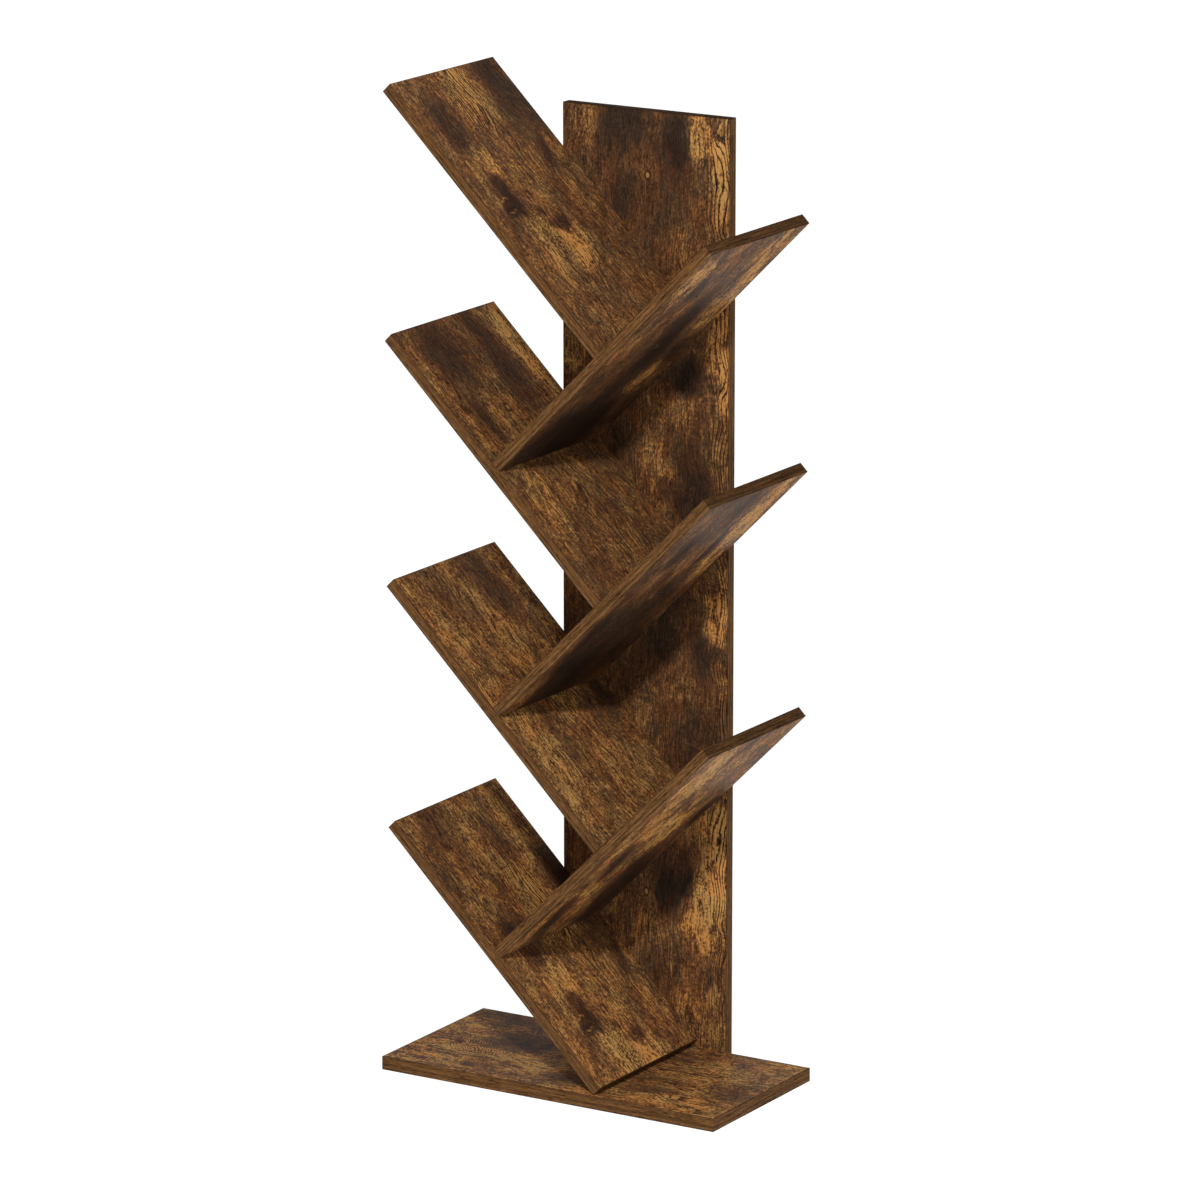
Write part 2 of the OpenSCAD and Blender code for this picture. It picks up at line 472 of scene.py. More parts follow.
@dataclass(frozen=True)
class Eye:
    """A place in the grain that the growth lines run around, in millimetres on the board."""

    along: float
    across: float
    half_length: float
    half_width: float
    lift: float = 0.0

    def push(self, place: Wire) -> Wire:
        """Tells how far the growth lines are pushed aside as they pass the eye.

        Args:
            place: the warped place on the board, in millimetres.

        Returns:
            The push across the grain, in millimetres.
        """
        offset = place.vector("SUBTRACT", (self.along, self.across, 0.0))
        reach = offset.vector("MULTIPLY", (1 / self.half_length, 1 / self.half_width, 0.0))
        settings = {"operation": "DOT_PRODUCT"}
        square = place.graph.node("ShaderNodeVectorMath", settings, {0: reach, 1: reach}).out("Value")
        return (offset.parts()[1] - self.lift) / (1 + square)


@dataclass(frozen=True)
class Arch:
    """A pointed arch of growth lines, its tip towards the board's far end, in millimetres on the board."""

    tip_along: float
    tip_across: float
    slant: float
    pitch: float
    patch: Patch
    sway: float = 34.0
    jag: float = 2.5
    ground: float = 0.35
    edge: Pair = (0.1, 0.95)

    def lines(self, place: Wire, layers: Layers) -> Wire:
        """Draws the arch's lines.

        Args:
            place: the slightly warped place on the board, in millimetres.
            layers: the print's layers.

        Returns:
            The strength of the lines, around 0.
        """
        along, across, _ = place.vector("SUBTRACT", (self.tip_along, self.tip_across, 0.0)).parts()
        reach = along + self.slant * abs(across) + (self.sway * layers.sway + self.jag * layers.streak)
        extent = layers.marked((self.patch,), place)
        return (self.ground - reach.wave(self.pitch).ease(*self.edge)) * extent.smallest(1.0)


@dataclass(frozen=True)
class RusticPrint:
    """The rustic wood print of a board: espresso clouds, brown flames, growth lines, golden crackle; some
    boards also carry painted shade.
    """

    tone: float
    shift: Pair
    patches: Patches = ()
    knots: tuple[Knot, ...] = ()
    crackles: Patches = ()
    figures: Patches = ()
    eyes: tuple[Eye, ...] = ()
    arches: tuple[Arch, ...] = ()
    vivid: float = 1.0
    grain: float = 1.0
    ring_width: float = 4.4
    sheen: float = 0.02

    wide: Blots = Blots(90.0, 55.0, 1.0)
    close: Blots = Blots(34.0, 20.0, 3.0, 0.55)
    cloud: Blots = Blots(105.0, 62.0, 3.0)
    flame: Blots = Blots(33.0, 19.0, 6.0, 0.62)
    streak: Blots = Blots(85.0, 4.2, 4.0, 0.6)
    fibre: Blots = Blots(26.0, 1.6, 2.0, 0.6)
    hair: Blots = Blots(120.0, 1.9, 1.0)
    fleck: Blots = Blots(11.0, 5.5, 2.0, 0.6)
    grit: Blots = Blots(4.0, 2.6, 3.0, 0.7)
    zone: Blots = Blots(130.0, 60.0, 1.0)
    sway: Blots = Blots(120.0, 34.0, 1.0)
    hue: Blots = Blots(60.0, 36.0, 2.0)

    bend_reach: Pair = (34.0, 24.0)
    curl_reach: Pair = (30.0, 16.0)
    streak_fray: float = 0.5
    grit_fray: float = 0.35
    cloud_gain: float = 0.42
    flame_gain: float = 0.72
    fleck_gain: float = 0.80
    streak_gain: float = 0.46
    hair_gain: float = 0.22
    fibre_gain: float = 0.95
    grit_gain: float = 1.35
    streak_zone: Pair = (0.4, 1.2)
    contrast: Pair = (0.35, 1.36)
    tone_limits: Pair = (0.08, 0.92)
    hair_edge: Pair = (0.64, 0.76)
    hair_zone: Pair = (0.35, 0.6)

    ring_gain: float = 0.62
    ring_ground: float = 0.3
    ring_edge: Pair = (0.2, 0.95)
    ring_sway: float = 4.2
    ring_curl: Triple = (0.3, 0.3, 0.0)
    arch_curl: Triple = (0.45, 0.45, 0.0)
    scatter_gain: float = 0.4
    scatter_cloud: float = 0.4
    scatter_edge: Pair = (0.56, 0.70)

    crack_cell: Pair = (6.0, 3.6)
    crack_edge: Pair = (0.20, 0.03)
    crack_jag: float = 0.25
    crack_gain: float = 0.9
    crack_fade: float = 0.8
    crack_colour: Colour = paint(50, 33, 21)
    gold_tones: Pair = (0.62, 0.95)
    gold_flame: float = 0.8
    gold_gain: float = 0.22

    red_tint: Colour = (1.06, 0.95, 0.88, 1.0)
    green_tint: Colour = (0.97, 1.02, 1.02, 1.0)
    hue_edge: Pair = (0.38, 0.62)
    dark_tint: Colour = (0.96, 1.03, 1.16, 1.0)
    dark_tones: Pair = (0.46, 0.18)
    roughness: Pair = (0.44, 0.14)
    fibre_relief: float = 0.5
    streak_relief: float = 0.4
    relief: float = 0.00012
    palette: Stops = (
        (0.00, paint(35, 25, 19)),
        (0.20, paint(53, 38, 28)),
        (0.38, paint(74, 51, 35)),
        (0.55, paint(99, 68, 44)),
        (0.70, paint(126, 88, 52)),
        (0.85, paint(156, 112, 63)),
        (1.00, paint(188, 140, 79)),
    )

    def growth_lines(self, layers: Layers) -> Wire:
        """Draws the growth lines and the arches that they form.

        Args:
            layers: the print's layers.

        Returns:
            The tone that they add, around 0.
        """
        swayed = layers.curl.vector("MULTIPLY_ADD", self.ring_curl, layers.combed)
        across = swayed.parts()[1]
        for eye in self.eyes:
            across = across - eye.push(layers.on_board)
        line = (across / self.ring_width + self.ring_sway * layers.sway).wave(1.0).ease(*self.ring_edge)
        rings = (self.ring_ground - line) * layers.figured * self.ring_gain
        eased = layers.curl.vector("MULTIPLY_ADD", self.arch_curl, layers.flat)
        for arch in self.arches:
            rings = rings + arch.lines(eased, layers) * self.ring_gain
        return rings

    def detail(self, layers: Layers) -> Wire:
        """Adds up flames, streaks, flecks, fibres, grit, growth lines and dark hairs.

        Args:
            layers: the print's layers.

        Returns:
            The tone that they add, around 0.
        """
        total = self.vivid * self.flame_gain * layers.flame
        total = total + self.streak_gain * layers.zone.line(*self.streak_zone) * layers.streak
        total = total + self.fleck_gain * layers.fleck + self.fibre_gain * layers.fibre
        total = total + self.grit_gain * layers.grit + self.growth_lines(layers)
        hair = layers.flat.graph.noise(layers.combed, self.hair).ease(*self.hair_edge)
        return total - self.hair_gain * hair * layers.zone.ease(*self.hair_zone)

    def crackle(self, layers: Layers) -> Wire:
        """Draws the net of fine dark cracks in golden places without growth lines.

        Args:
            layers: the print's layers.

        Returns:
            The strength of the cracks, from 0 to 1.
        """
        golden = (layers.base + self.gold_flame * layers.flame).ease(*self.gold_tones) * self.gold_gain
        golden = (golden + layers.marked(self.crackles, layers.on_board)).smallest(1.0)
        cells = layers.warped.vector("MULTIPLY", (1 / self.crack_cell[0], 1 / self.crack_cell[1], 1.0))
        settings = {"voronoi_dimensions": "2D", "feature": "DISTANCE_TO_EDGE"}
        rim = cells.graph.node("ShaderNodeTexVoronoi", settings, {"Vector": cells, "Scale": 1.0}).out()
        cracks = (rim + self.crack_jag * layers.grit).ease(*self.crack_edge)
        plain = 1 - self.crack_fade * layers.figured
        return cracks * (golden * plain).smallest(1.0) * self.crack_gain

    def make(self, name: str, board: "Board") -> bpy.types.Material:
        """Makes one board's print.

        Args:
            name: the material's name.
            board: the board, with its placement and sizes.

        Returns:
            The material.
        """
        graph = Graph(bpy.data.materials.new(name))
        layers = Layers(self, board.best_side(graph))
        base = layers.base
        contrast = self.contrast[0] + self.contrast[1] * base * base
        colour = graph.ramp(base + self.grain * contrast * self.detail(layers), self.palette)
        colour = graph.blend(self.crackle(layers), colour, self.crack_colour)
        redder = graph.tint(1.0, colour, self.red_tint)
        greener = graph.tint(1.0, colour, self.green_tint)
        redness = graph.noise(layers.warped, self.hue).ease(*self.hue_edge)
        colour = graph.blend(redness, greener, redder)
        colour = graph.tint(base.ease(*self.dark_tones), colour, self.dark_tint)
        for knot in self.knots:
            colour = knot.paint_over(colour, layers.flat)
        roughness = (layers.fibre + layers.flame).line(*self.roughness)
        height = 0.5 + self.fibre_relief * layers.fibre + self.streak_relief * layers.streak
        graph.surface({"Specular IOR Level": self.sheen}, colour, roughness, height, self.relief)
        return graph.owner


@dataclass(frozen=True)
class StripPrint:
    """The edge strips' print: olive-brown, with streaks along the strip."""

    end_shade: float = 0.62
    wander: Blots = Blots(110.0, 9.0, 2.0)
    fine: Blots = Blots(45.0, 1.5, 3.0, 0.6)
    fibre: Blots = Blots(9.0, 0.7, 2.0)
    wander_shift: float = 0.50
    fine_shift: float = 0.16
    light: float = 0.90
    fine_light: float = 2.2
    fibre_light: float = 2.0
    wander_light: float = 0.4
    roughness: Pair = (0.50, 0.16)
    sheen: float = 0.02
    fibre_relief: float = 0.5
    fine_relief: float = 0.4
    relief: float = 0.00008
    streaks: Stops = (
        (0.00, paint(70, 46, 26)),
        (0.18, paint(104, 74, 45)),
        (0.38, paint(76, 50, 27)),
        (0.58, paint(103, 71, 41)),
        (0.74, paint(86, 58, 32)),
        (0.86, paint(100, 69, 40)),
        (1.00, paint(74, 49, 28)),
    )

    def make(self, name: str, board: "Board") -> bpy.types.Material:
        """Makes the print of one board's edge strips.

        Args:
            name: the material's name.
            board: the board, with its placement and sizes.

        Returns:
            The material.
        """
        graph = Graph(bpy.data.materials.new(name))
        along, across, up = board.placement.read(graph).parts()
        run = along + across + board.finish.shift[0]
        line = graph.node("ShaderNodeCombineXYZ", {}, {0: run, 1: up, 2: 0.0}).out()
        wander = graph.noise(line, self.wander) - 0.5
        fine = graph.noise(line, self.fine) - 0.5
        fibre = graph.noise(line, self.fibre) - 0.5
        level = up / board.thickness + self.wander_shift * wander + self.fine_shift * fine
        light = self.light + self.fine_light * fine + self.fibre_light * fibre + self.wander_light * wander
        grey = graph.node("ShaderNodeCombineXYZ", {}, {0: light, 1: light, 2: light}).out()
        colour = graph.tint(1.0, graph.ramp(level, self.streaks), grey)
        shade = (self.end_shade, self.end_shade, self.end_shade, 1.0)
        colour = graph.tint(board.outer_end(along), colour, shade)
        roughness = fine.line(*self.roughness)
        height = 0.5 + self.fibre_relief * fibre + self.fine_relief * fine
        graph.surface({"Specular IOR Level": self.sheen}, colour, roughness, height, self.relief)
        return graph.owner


@dataclass(frozen=True)
class BronzedSteel:
    """Dark bronzed steel of the screws, slightly mottled."""

    name: str = "bronzed_steel"
    light: Colour = (0.24, 0.19, 0.14, 1.0)
    dark: Colour = (0.10, 0.08, 0.06, 1.0)
    contrast: Pair = (0.35, 0.65)
    blots: Pair = (900.0, 3.0)
    marks: Pair = (4200.0, 2.0)
    roughness: Pair = (0.34, 0.2)
    relief: float = 0.00003

    def make(self) -> bpy.types.Material:
        """Makes the material.

        Returns:
            The material.
        """
        graph = Graph(bpy.data.materials.new(self.name))
        blots = graph.mottling(*self.blots)
        marks = graph.mottling(*self.marks)
        colour = graph.blend(blots.ease(*self.contrast), self.dark, self.light)
        graph.surface({"Metallic": 1.0}, colour, blots.line(*self.roughness), marks, self.relief)
        return graph.owner


@dataclass(frozen=True)
class BeechWood:
    """Pale fluted beech of the dowels."""

    name: str = "beech_dowel"
    light: Colour = paint(214, 178, 132)
    dark: Colour = paint(176, 134, 90)
    contrast: Pair = (0.3, 0.7)
    blots: Pair = (700.0, 4.0)
    flecks: Pair = (2600.0, 2.0)
    roughness: Pair = (0.55, 0.2)
    relief: float = 0.00008

    def make(self) -> bpy.types.Material:
        """Makes the material.

        Returns:
            The material.
        """
        graph = Graph(bpy.data.materials.new(self.name))
        blots = graph.mottling(*self.blots)
        flecks = graph.mottling(*self.flecks)
        colour = graph.blend(blots.ease(*self.contrast), self.dark, self.light)
        graph.surface({}, colour, flecks.line(*self.roughness), flecks, self.relief)
        return graph.owner


def add_piece(name: str, mesh: bmesh.types.BMesh) -> bpy.types.Object:
    """Makes an object at the origin from a finished mesh.

    Args:
        name: the object's name.
        mesh: the mesh, which is freed.

    Returns:
        The object.
    """
    data = bpy.data.meshes.new(name)
    mesh.to_mesh(data)
    mesh.free()
    piece = bpy.data.objects.new(name, data)
    bpy.context.scene.collection.objects.link(piece)
    return piece


@dataclass
class Board:
    """A printed board and the strips on its cut edges, with its sizes in millimetres."""

    node: str
    strip_node: str
    length: float
    depth: float
    thickness: float
    placement: Placement
    fair: Face
    finish: RusticPrint
    strip_finish: StripPrint = StripPrint()
    start_strip: bool = True
    strip: float = 0.8
    gap: float = 0.05
    arris: float = 0.45
    arris_steps: int = 3
    end_zone: float = 1.0

    def best_side(self, graph: Graph) -> Wire:
        """Gives the place on the board's best side, with the other side turned round.

        Args:
            graph: the material's nodes.

        Returns:
            The place, in millimetres.
        """
        point = self.placement.read(graph)
        upper = point.parts()[2].above(self.thickness / 2)
        other = 1 - upper if self.fair is Face.UPPER else upper
        inputs = {0: (self.length, self.depth, 0.0), 1: point}
        turned = graph.node("ShaderNodeVectorMath", {"operation": "SUBTRACT"}, inputs).out()
        return graph.blend(other, point, turned)

    def outer_end(self, along: Wire) -> Wire:
        """Gives 1 on the strip at the board's upper end, and 0 on its other strips."""
        beyond = along.above(self.end_zone if self.start_strip else self.length - self.end_zone)
        return 1 - beyond if self.start_strip else beyond

    def dress(self) -> None:
        """Gives the board's core its wood print."""
        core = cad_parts[self.node]
        material = self.finish.make(f"rustic_print_{self.node}", self)
        for slot in core.material_slots:
            slot.material = material
        log.info("%s: printed", self.node)

    def add_strip(self, mesh: bmesh.types.BMesh, low: Vector, high: Vector, outward: Vector) -> None:
        """Adds one strip, with the arrises of its outer face rounded.

        Args:
            mesh: the mesh of all the board's strips.
            low: the strip's lowest corner in the board's frame, in millimetres.
            high: its highest corner.
            outward: the direction that its outer face looks in.
        """
        place = Matrix.LocRotScale((low + high) / 2, None, high - low)
        made = bmesh.ops.create_cube(mesh, size=1.0, matrix=place)
        faces = {face for vertex in made["verts"] for face in vertex.link_faces}
        for face in faces:
            face.normal_update()
        outer = max(faces, key=lambda face: face.normal.dot(outward))
        bmesh.ops.bevel(mesh, geom=list(outer.edges), offset=self.arris, offset_type="OFFSET",
                        segments=self.arris_steps, profile=0.5, affect="EDGES", clamp_overlap=True,
                        material=-1)

    def add_strips(self) -> None:
        """Models the strips around the board and lets them stand for the plain ones."""
        mesh = bmesh.new()
        ahead, aside = Vector((1, 0, 0)), Vector((0, 1, 0))
        far, wide, top = self.length, self.depth, self.thickness
        inset = self.strip + self.gap
        self.add_strip(mesh, Vector((0, 0, 0)), Vector((far, self.strip, top)), -aside)
        self.add_strip(mesh, Vector((0, wide - self.strip, 0)), Vector((far, wide, top)), aside)
        if self.start_strip:
            self.add_strip(mesh, Vector((0, inset, 0)), Vector((self.strip, wide - inset, top)), -ahead)
        self.add_strip(mesh, Vector((far - self.strip, inset, 0)), Vector((far, wide - inset, top)), ahead)
        bmesh.ops.scale(mesh, vec=(MM, MM, MM), verts=mesh.verts)
        bmesh.ops.transform(mesh, matrix=self.placement.matrix(), verts=mesh.verts)
        bmesh.ops.recalc_face_normals(mesh, faces=mesh.faces)
        piece = add_piece(f"{self.node}_strips", mesh)
        piece.data.materials.append(self.strip_finish.make(f"strip_print_{self.node}", self))
        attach(piece, ROOT)
        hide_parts(self.strip_node)
        log.info("%s: %d faces", piece.name, len(piece.data.polygons))

    def build(self) -> None:
        """Dresses the board and adds its strips."""
        self.dress()
        self.add_strips()


@dataclass
class BasePlate:
    """The flat board that the bookshelf stands on."""

    width: float = 500.0
    depth: float = 247.0
    thickness: float = 18.0
    front: float = -131.0
    patches: Patches = (
        Patch(128, 145, 74, 51, -0.27),
        Patch(45, 225, 68, 32, -0.13),
        Patch(38, 93, 38, 12, 0.2),
        Patch(168, 75, 68, 38, 0.23),
        Patch(55, 35, 74, 38, 0.14),
        Patch(355, 82, 61, 61, -0.13),
        Patch(412, 20, 128, 24, 0.05),
        Patch(428, 50, 9, 7, -0.27),
        Patch(54, 102, 9, 24, -0.22),
        Patch(36, 97, 16, 7, 0.20),
        Patch(28, 77, 24, 7, 0.16),
        Patch(154, 60, 13, 17, -0.24),
        Patch(114, 30, 14, 9, -0.18),
        Patch(153, 90, 16, 8, 0.20),
        Patch(172, 34, 20, 9, 0.14),
        Patch(30, 50, 26, 9, -0.14),
        Patch(475, 112, 46, 61, -0.13),
        Patch(330, 190, 81, 54, -0.11),
        Patch(262, 44, 52, 34, -0.16),
        Patch(384, 148, 60, 24, -0.14),
    )
    figures: Patches = (Patch(430, 35, 70, 26, 0.8),)
    eyes: tuple[Eye, ...] = (Eye(428, 50, 30, 18, 20),)
    arches: tuple[Arch, ...] = (Arch(110, 76, 0.58, 4.6, Patch(84, 104, 58, 52, 1.15)),)

    def build(self) -> None:
        """Makes the base plate's board."""
        origin = (-self.width / 2 * MM, self.front * MM, 0.0)
        finish = RusticPrint(tone=0.66, vivid=1.2, shift=(610.0, 120.0), patches=self.patches,
                             figures=self.figures, eyes=self.eyes, arches=self.arches, ring_width=7.0,
                             grain=1.25, sheen=0.08)
        Board("base_plate", "base_edge_strips", self.width, self.depth, self.thickness, Placement(origin),
              Face.UPPER, finish).build()


@dataclass
class BackPanel:
    """The upright board behind the shelves, its grain upright too."""

    height: float = 1250.28
    width: float = 248.0
    thickness: float = 15.0
    front: float = 116.0
    upright: Triple = (-90.0, -90.0, 0.0)
    top_shade: float = 0.34
    patches: Patches = (
        Patch(1232, 28, 50, 30, 0.18),
        Patch(1234, 90, 66, 52, -0.28),
        Patch(1140, 90, 46, 26, -0.10),
        Patch(1140, 130, 110, 70, -0.13),
        Patch(1215, 164, 66, 38, -0.22),
        Patch(1222, 206, 46, 24, 0.36),
        Patch(1190, 236, 90, 22, 0.24),
        Patch(1085, 25, 52, 40, 0.34),
        Patch(1020, 18, 50, 30, 0.10),
        Patch(942, 236, 95, 22, 0.26),
        Patch(910, 190, 44, 36, -0.28),
        Patch(866, 172, 34, 30, 0.16),
        Patch(960, 140, 60, 44, -0.16),
        Patch(895, 100, 50, 40, -0.20),
        Patch(930, 12, 60, 22, 0.16),
        Patch(790, 146, 44, 30, 0.16),
        Patch(815, 84, 50, 44, -0.14),
        Patch(740, 200, 90, 40, -0.20),
        Patch(610, 232, 60, 26, 0.26),
        Patch(615, 158, 50, 46, -0.26),
        Patch(555, 150, 40, 40, -0.22),
        Patch(530, 108, 44, 30, -0.06),
        Patch(545, 215, 50, 34, -0.20),
        Patch(420, 200, 110, 60, -0.10),
        Patch(310, 180, 46, 36, 0.12),
        Patch(265, 238, 120, 18, 0.30),
        Patch(236, 230, 78, 26, 0.20),
        Patch(338, 226, 50, 20, 0.12),
        Patch(268, 168, 92, 48, -0.20),
        Patch(222, 160, 44, 22, -0.16),
        Patch(228, 182, 22, 9, -0.16),
        Patch(262, 197, 18, 12, 0.14),
        Patch(208, 213, 70, 30, 0.46),
        Patch(178, 192, 22, 20, 0.18),
        Patch(306, 236, 9, 5, -0.70),
        Patch(300, 216, 52, 12, 0.20),
        Patch(205, 118, 80, 40, 0.02),
        Patch(120, 160, 50, 60, -0.10),
        Patch(60, 200, 90, 60, 0.10),
    )
    knots: tuple[Knot, ...] = (Knot(1167, 126.6), Knot(218, 126.6))
    figures: Patches = (
        Patch(1180, 252, 260, 44, 1.8),
        Patch(800, 252, 340, 34, 1.6),
        Patch(330, 254, 380, 40, 1.8),
    )
    eyes: tuple[Eye, ...] = (
        Eye(306, 236, 34, 13),
        Eye(620, 228, 34, 11),
        Eye(1232, 234, 26, 12, 14),
        Eye(910, 230, 34, 11),
    )

    def build(self) -> None:
        """Makes the back panel's board, whose lower end has no strip."""
        origin = (-self.width / 2 * MM, self.front * MM, 0.0)
        finish = RusticPrint(tone=0.50, vivid=1.1, shift=(0.0, 900.0), patches=self.patches,
                             knots=self.knots, figures=self.figures, eyes=self.eyes)
        Board("back_panel", "panel_edge_strips", self.height, self.width, self.thickness,
              Placement(origin, self.upright), Face.LOWER, finish, StripPrint(end_shade=self.top_shade),
              start_strip=False).build()


@dataclass
class ShelfTower:
    """The slanted boards, four that fall to the right and three that fall to the left."""

    length: float = 438.0
    depth: float = 243.0
    thickness: float = 15.0
    front: float = -127.0
    half_width: float = 240.24
    slope: float = 45.0
    left_heights: tuple[float, ...] = (1288.67, 968.35, 648.03, 327.71)
    right_heights: tuple[float, ...] = (1128.51, 808.19, 487.87)
    left_vivid: float = 0.9
    left_grain: float = 1.15
    right_vivid: float = 1.35
    right_grain: float = 1.2
    right_sheen: float = 0.012
    repeat: Pair = (143.0, 17.0)
    spider: Patches = (
        Patch(55, 215, 112, 56, -0.30),
        Patch(154, 200, 34, 17, -0.24),
        Patch(88, 52, 78, 32, -0.28),
        Patch(30, 132, 95, 44, 0.17),
        Patch(146, 66, 48, 34, 0.26),
        Patch(166, 82, 36, 8, 0.22),
        Patch(190, 30, 50, 9, 0.18),
        Patch(184, 62, 22, 22, -0.36),
        Patch(212, 60, 24, 30, -0.34),
        Patch(222, 46, 15, 18, -0.24),
        Patch(196, 48, 4, 12, 0.60),
        Patch(220, 50, 4, 11, 0.55),
        Patch(253, 120, 12, 34, -0.44),
        Patch(234, 102, 11, 11, -0.34),
        Patch(260, 88, 38, 19, 0.26),
        Patch(276, 122, 36, 42, 0.24),
        Patch(310, 104, 50, 30, 0.22),
        Patch(262, 142, 24, 14, 0.14),
        Patch(276, 60, 66, 27, 0.24),
        Patch(162, 222, 46, 18, 0.14),
    )
    spider_crackles: Patches = (Patch(259, 86, 46, 22, 2.2), Patch(205, 56, 44, 34, 0.8))
    spider_figures: Patches = (Patch(40, 125, 110, 50, 1.0),)
    left_second: Patches = (
        Patch(80, 232, 150, 26, 0.46),
        Patch(30, 212, 40, 16, 0.16),
        Patch(77, 168, 120, 42, -0.24),
        Patch(62, 100, 92, 30, -0.10),
        Patch(50, 62, 78, 47, -0.27),
        Patch(157, 57, 42, 16, -0.26),
        Patch(133, 108, 70, 42, 0.07),
        Patch(100, 15, 143, 18, 0.09),
        Patch(263, 195, 65, 72, -0.05),
        Patch(283, 112, 57, 39, 0.13),
        Patch(283, 122, 12, 12, -0.21),
        Patch(283, 42, 86, 31, 0.17),
    )
    left_third: Patches = (
        Patch(257, 228, 44, 36, -0.17),
        Patch(263, 178, 36, 36, -0.13),
        Patch(283, 42, 78, 44, 0.17),
        Patch(253, 82, 44, 16, -0.13),
        Patch(100, 20, 143, 23, 0.07),
        Patch(52, 176, 86, 40, -0.26),
        Patch(112, 128, 90, 20, 0.18),
        Patch(40, 76, 64, 30, -0.22),
        Patch(140, 222, 70, 16, 0.22),
        Patch(158, 74, 40, 18, 0.14),
        Patch(166, 158, 26, 14, -0.22),
    )
    left_fourth: Patches = (
        Patch(30, 60, 50, 40, -0.16),
        Patch(70, 14, 80, 22, -0.14),
        Patch(197, 52, 24, 26, -0.22),
        Patch(288, 80, 62, 40, 0.14),
        Patch(408, 112, 50, 50, 0.14),
        Patch(392, 76, 44, 16, 0.12),
        Patch(64, 206, 90, 22, 0.24),
        Patch(96, 158, 62, 26, -0.20),
        Patch(40, 118, 60, 18, 0.16),
        Patch(128, 98, 30, 16, -0.20),
    )
    right_first: Patches = (
        Patch(50, 212, 100, 46, 0.28),
        Patch(150, 210, 70, 46, 0.16),
        Patch(161, 236, 24, 16, 0.30),
        Patch(180, 134, 120, 44, -0.20),
        Patch(262, 82, 110, 34, 0.08),
        Patch(55, 28, 60, 34, 0.24),
        Patch(86, 76, 42, 24, -0.20),
        Patch(296, 184, 52, 32, 0.26),
        Patch(360, 192, 60, 22, 0.10),
        # Painted shade: these two broad patches darken the middle and the inner end of the underside,
        # towards the joint with the left board below.
        Patch(380, 110, 120, 150, -0.22),
        Patch(240, 120, 90, 130, -0.10),
        Patch(400, 130, 90, 62, -0.16),
        Patch(185, 34, 100, 32, 0.06),
        Patch(250, 210, 50, 30, -0.16),
        Patch(395, 40, 80, 44, -0.12),
    )
    right_second: Patches = (
        Patch(22, 200, 56, 26, 0.42),
        Patch(100, 205, 88, 48, 0.36),
        Patch(186, 206, 62, 30, 0.24),
        Patch(125, 160, 66, 13, -0.22),
        Patch(50, 90, 90, 90, -0.08),
        Patch(112, 62, 52, 24, -0.18),
        Patch(220, 92, 110, 40, 0.04),
        Patch(255, 28, 72, 30, -0.16),
        Patch(402, 28, 66, 32, 0.26),
        # Painted shade: these two broad patches darken the middle and the inner end of the underside,
        # towards the joint with the left board below.
        Patch(370, 110, 140, 150, -0.26),
        Patch(240, 120, 90, 130, -0.12),
        Patch(175, 30, 60, 26, -0.10),
    )
    right_third: Patches = (
        Patch(66, 62, 78, 58, 0.40),
        Patch(138, 62, 46, 48, 0.20),
        Patch(196, 116, 32, 84, 0.20),
        Patch(228, 156, 48, 56, 0.20),
        Patch(210, 226, 60, 30, -0.26),
        Patch(148, 92, 36, 26, -0.16),
        Patch(258, 78, 60, 24, -0.18),
        Patch(312, 76, 24, 50, 0.18),
        Patch(368, 56, 56, 32, -0.28),
        Patch(370, 108, 100, 24, 0.16),
        Patch(366, 18, 110, 16, 0.10),
        Patch(250, 32, 72, 18, 0.18),
        Patch(356, 194, 130, 66, -0.30),
        Patch(60, 180, 80, 80, 0.06),
    )

    def repeated(self, patches: Patches) -> Patches:
        """Gives patches of the highest left board where its print repeats on the lowest one."""
        return tuple(patch.moved(*self.repeat) for patch in patches)

    def left_prints(self) -> tuple[RusticPrint, ...]:
        """Gives the prints of the left boards' upper faces, from the top."""
        prints = (
            RusticPrint(0.53, (500.0, 300.0), self.spider, (), self.spider_crackles, self.spider_figures),
            RusticPrint(0.54, (285.0, 310.0), self.left_second, (Knot(147, 111),)),
            RusticPrint(0.62, (90.0, 620.0), self.left_third),
            RusticPrint(0.60, (357.0, 283.0), self.repeated(self.spider) + self.left_fourth, (),
                        self.repeated(self.spider_crackles), self.repeated(self.spider_figures)),
        )
        return tuple(replace(each, vivid=self.left_vivid, grain=self.left_grain) for each in prints)

    def right_prints(self) -> tuple[RusticPrint, ...]:
        """Gives the prints of the right boards' lower faces, from the top; the first two also carry
        painted shade towards their inner ends.
        """
        prints = (
            RusticPrint(0.48, (1560.0, 370.0), self.right_first),
            RusticPrint(0.49, (1820.0, 540.0), self.right_second),
            RusticPrint(0.53, (2080.0, 710.0), self.right_third),
        )
        return tuple(replace(each, vivid=self.right_vivid, grain=self.right_grain, sheen=self.right_sheen)
                     for each in prints)

    def add_board(self, side: str, number: int, place: Placement, fair: Face, finish: RusticPrint) -> None:
        """Makes one slanted board, counted from the top of its side."""
        Board(f"{side}_shelf_{number}", f"{side}_edge_strips_{number}", self.length, self.depth,
              self.thickness, place, fair, finish).build()

    def build(self) -> None:
        """Makes the seven slanted boards."""
        left = zip(self.left_heights, self.left_prints())
        for number, (height, finish) in enumerate(left, start=1):
            origin = (-self.half_width * MM, self.front * MM, height * MM)
            self.add_board("left", number, Placement(origin, (0.0, self.slope, 0.0)), Face.UPPER, finish)
        right = zip(self.right_heights, self.right_prints())
        for number, (height, finish) in enumerate(right, start=1):
            origin = (self.half_width * MM, self.front * MM, height * MM)
            placement = Placement(origin, (0.0, -self.slope, 0.0), mirrored=True)
            self.add_board("right", number, placement, Face.LOWER, finish)


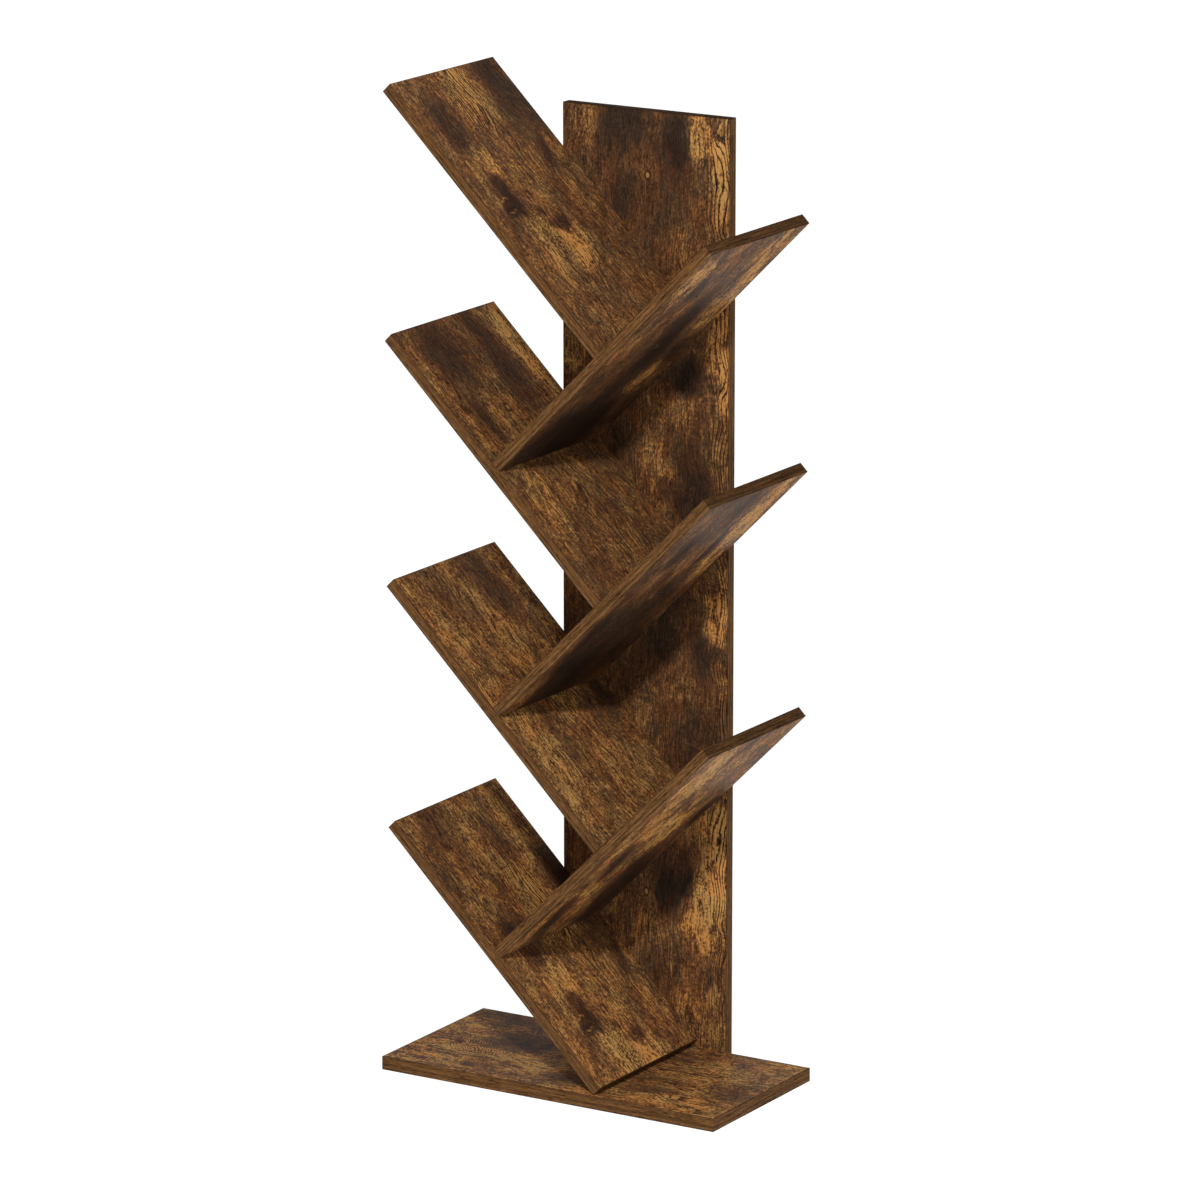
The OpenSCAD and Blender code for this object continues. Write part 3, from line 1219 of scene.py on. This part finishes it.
@dataclass
class Fasteners:
    """The screws and dowels that hold the boards together."""

    screws: tuple[str, ...] = ("joint_screws", "panel_screws", "toe_screws")
    dowels: tuple[str, ...] = ("joint_dowels",)

    def build(self) -> None:
        """Gives the screws and the dowels their finishes."""
        steel = BronzedSteel().make()
        beech = BeechWood().make()
        for names, material in ((self.screws, steel), (self.dowels, beech)):
            for name in names:
                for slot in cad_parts[name].material_slots:
                    slot.material = material
                log.info("%s: finished in %s", name, material.name)


@dataclass
class Studio:
    """The pale floor, the soft lights and the camera, in metres."""

    floor_half: float = 30.0
    floor_colour: Colour = (0.35, 0.35, 0.35, 1.0)
    floor_roughness: float = 0.9
    floor_sheen: float = 0.1
    floor_glow: float = 0.83
    key_place: Triple = (2.37, -4.36, 4.18)
    key_aim: Triple = (0.0, 0.0, 0.6)
    key_power: float = 224.0
    key_size: float = 0.26
    front_sky: float = 0.75
    rear_sky: float = 0.25
    rear_fade: Pair = (-0.2, 0.5)
    zenith: float = 0.60
    zenith_fade: Pair = (0.1, 0.7)
    camera_azimuth: float = 31.371
    camera_elevation: float = 13.950
    camera_distance: float = 8.891
    camera_target: Triple = (0.0024, 0.0, 0.6344)
    lens: float = 208.85
    sensor: float = 36.0
    sight: float = 100.0

    def add_floor(self) -> None:
        """Lays the plain pale floor."""
        mesh = bmesh.new()
        bmesh.ops.create_grid(mesh, x_segments=1, y_segments=1, size=self.floor_half)
        floor = add_piece("studio_floor", mesh)
        graph = Graph(bpy.data.materials.new("pale_floor"))
        graph.shade({
            "Base Color": self.floor_colour,
            "Roughness": self.floor_roughness,
            "Specular IOR Level": self.floor_sheen,
            "Emission Color": WHITE,
            "Emission Strength": self.floor_glow,
        })
        floor.data.materials.append(graph.owner)

    def add_surroundings(self) -> None:
        """Sets white surroundings, dimmer behind the bookshelf and overhead."""
        graph = Graph(bpy.data.worlds.new("white_room"))
        _, depth, height = graph.node("ShaderNodeTexCoord", {}, {}).out("Generated").parts()
        around = depth.ease(*self.rear_fade, self.front_sky, self.rear_sky)
        strength = height.ease(*self.zenith_fade, around, self.zenith)
        glow = graph.node("ShaderNodeBackground", {}, {"Color": WHITE, "Strength": strength}).out()
        graph.node("ShaderNodeOutputWorld", {}, {"Surface": glow})
        bpy.context.scene.world = graph.owner

    def add_key_light(self) -> None:
        """Hangs the soft key light."""
        light = bpy.data.lights.new("key_light", "AREA")
        light.shape = "DISK"
        light.energy = self.key_power
        light.size = self.key_size
        lamp = bpy.data.objects.new("key_light", light)
        direction = Vector(self.key_place) - Vector(self.key_aim)
        lamp.location = self.key_place
        lamp.rotation_euler = direction.to_track_quat("Z", "Y").to_euler()
        bpy.context.scene.collection.objects.link(lamp)

    def add_camera(self) -> None:
        """Sets the camera at the photograph's angle."""
        turn, rise = math.radians(self.camera_azimuth), math.radians(self.camera_elevation)
        back = Vector((math.sin(turn) * math.cos(rise), -math.cos(turn) * math.cos(rise), math.sin(rise)))
        data = bpy.data.cameras.new("photo_camera")
        data.lens = self.lens
        data.sensor_width = self.sensor
        data.clip_end = self.sight
        camera = bpy.data.objects.new("photo_camera", data)
        camera.location = Vector(self.camera_target) + back * self.camera_distance
        camera.rotation_euler = back.to_track_quat("Z", "Y").to_euler()
        bpy.context.scene.collection.objects.link(camera)
        bpy.context.scene.camera = camera

    def build(self) -> None:
        """Sets up the floor, the lights and the camera."""
        self.add_floor()
        self.add_surroundings()
        self.add_key_light()
        self.add_camera()
        bpy.context.scene.view_settings.view_transform = "Standard"
        log.info("studio: floor, key light and camera")


def main() -> None:
    """Builds the bookshelf and the studio around it."""
    logging.basicConfig(level=logging.INFO, format="%(name)s: %(message)s")
    Studio().build()
    BasePlate().build()
    BackPanel().build()
    ShelfTower().build()
    Fasteners().build()


if __name__ == "__main__":
    main()
